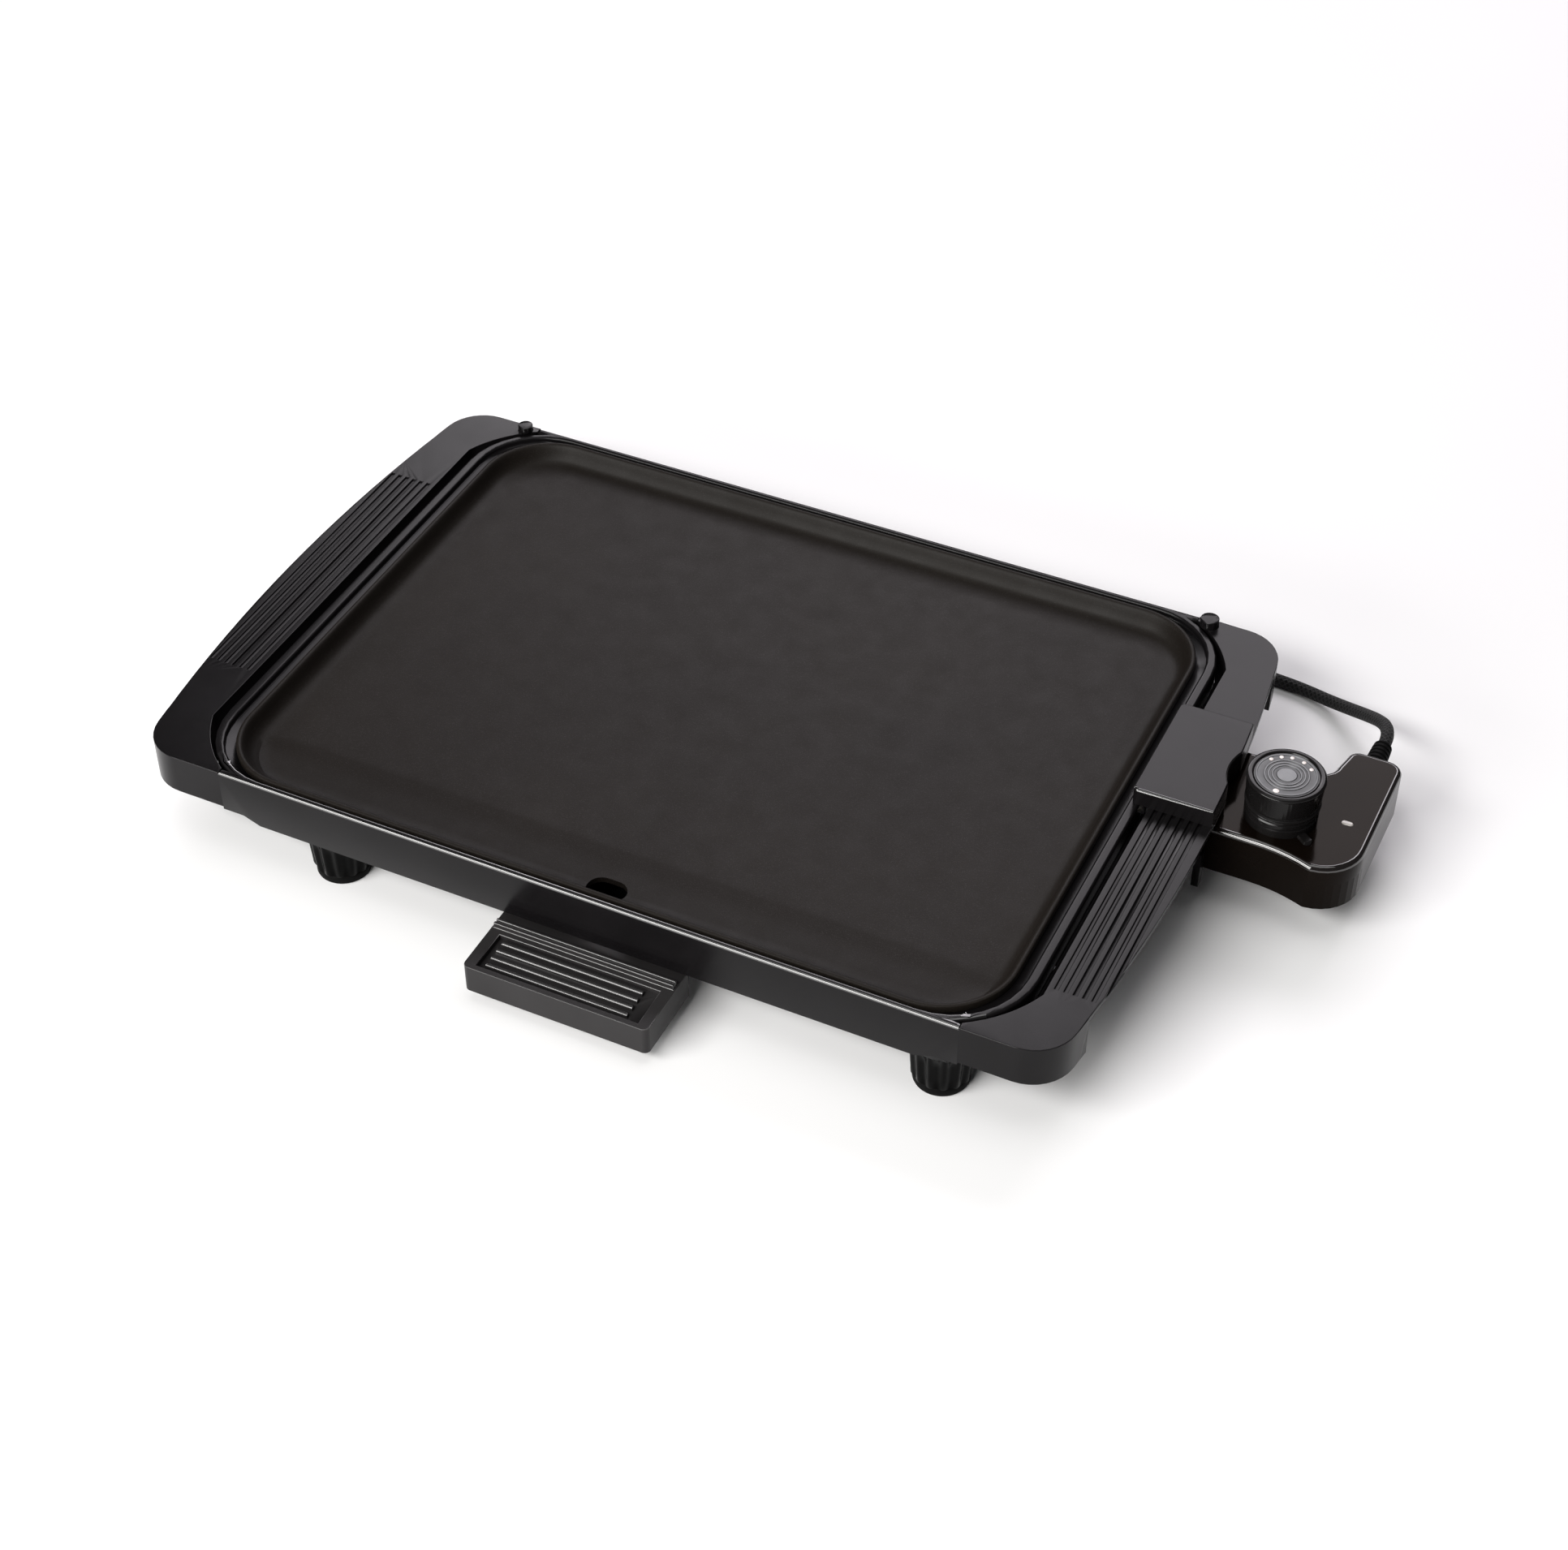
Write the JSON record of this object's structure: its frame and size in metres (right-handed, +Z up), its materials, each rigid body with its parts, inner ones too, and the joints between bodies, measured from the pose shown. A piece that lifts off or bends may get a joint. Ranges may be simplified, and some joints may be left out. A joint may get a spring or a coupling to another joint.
{
  "type": "electric griddle",
  "caption": "Low rectangular electric griddle with a non-stick plate, two ribbed end handles, a plug-in dial control on a cord and a slide-out drip tray.",
  "frame": {"origin": "middle of the footprint in plan (cord left out), on the table plane that the foot pads stand on; the cooking plate is centred at x -34.08 mm, y +17.85 mm", "axes": "+X along the griddle towards the plug-in control, +Y towards the rear, away from the drip tray, +Z up"},
  "size_m": [0.5678, 0.4004, 0.072],
  "materials": {
    "moulded_black": "satin moulded plastic",
    "plate_coating": "cast aluminium with a matt dark non-stick coating",
    "steel": "plain",
    "brass": "plain",
    "ceramic": "off-white ceramic",
    "rubber": "matt",
    "gloss_black": "glossy",
    "lamp_glass": "clear neon lamp",
    "lamp_lens": "translucent",
    "dial_grey": "spun rings"
  },
  "bodies": {
    "base": {"base_frame": "moulded_black", "left_handle": "moulded_black", "right_handle": "moulded_black", "terminal_cover": "moulded_black", "leg_front_left": "moulded_black", "leg_front_right": "moulded_black", "leg_rear_left": "moulded_black", "leg_rear_right": "moulded_black", "griddle_plate": "plate_coating", "heating_element": "steel", "terminal_bracket": "steel", "heat_reflector": "steel", "tray_rail_left": "steel", "tray_rail_right": "steel", "leg_screws": "steel", "plate_screws": "steel", "handle_screws": "steel", "rail_screws": "steel", "terminal_pins": "brass", "terminal_insulators": "ceramic", "foot_pad_front_left": "rubber", "foot_pad_front_right": "rubber", "foot_pad_rear_left": "rubber", "foot_pad_rear_right": "rubber"},
    "tray": {"drip_tray": "moulded_black", "tray_handle": "moulded_black"},
    "probe": {"probe_upper_case": "gloss_black", "probe_lower_case": "gloss_black", "sensor_rod": "steel", "contact_sleeves": "brass", "thermostat_base": "ceramic", "bimetal_blade": "steel", "contact_blades": "brass", "internal_wires": "rubber", "indicator_lamp": "lamp_glass", "lamp_lens": "lamp_lens", "case_screws": "steel", "knob_collar": "gloss_black", "strain_relief": "rubber", "power_cord": "rubber", "cord_coil": "rubber", "plug_body": "rubber", "plug_pins": "brass"},
    "knob": {"knob": "gloss_black", "dial_plate": "dial_grey", "knob_shaft": "steel"}
  },
  "joints": [
    {"name": "tray_slide", "type": "slide", "parent": "base", "child": "tray", "axis": [0, -1, 0], "range_m": [0, 0.1]},
    {"name": "probe_pull", "type": "slide", "parent": "base", "child": "probe", "axis": [1, 0, 0], "range_m": [0, 0.085]},
    {"name": "knob_turn", "type": "hinge", "parent": "probe", "child": "knob", "pos_m": [0.23992, 0.05935, 0.06], "axis": [0, 0, 1], "range_deg": [-290, 0]}
  ]
}
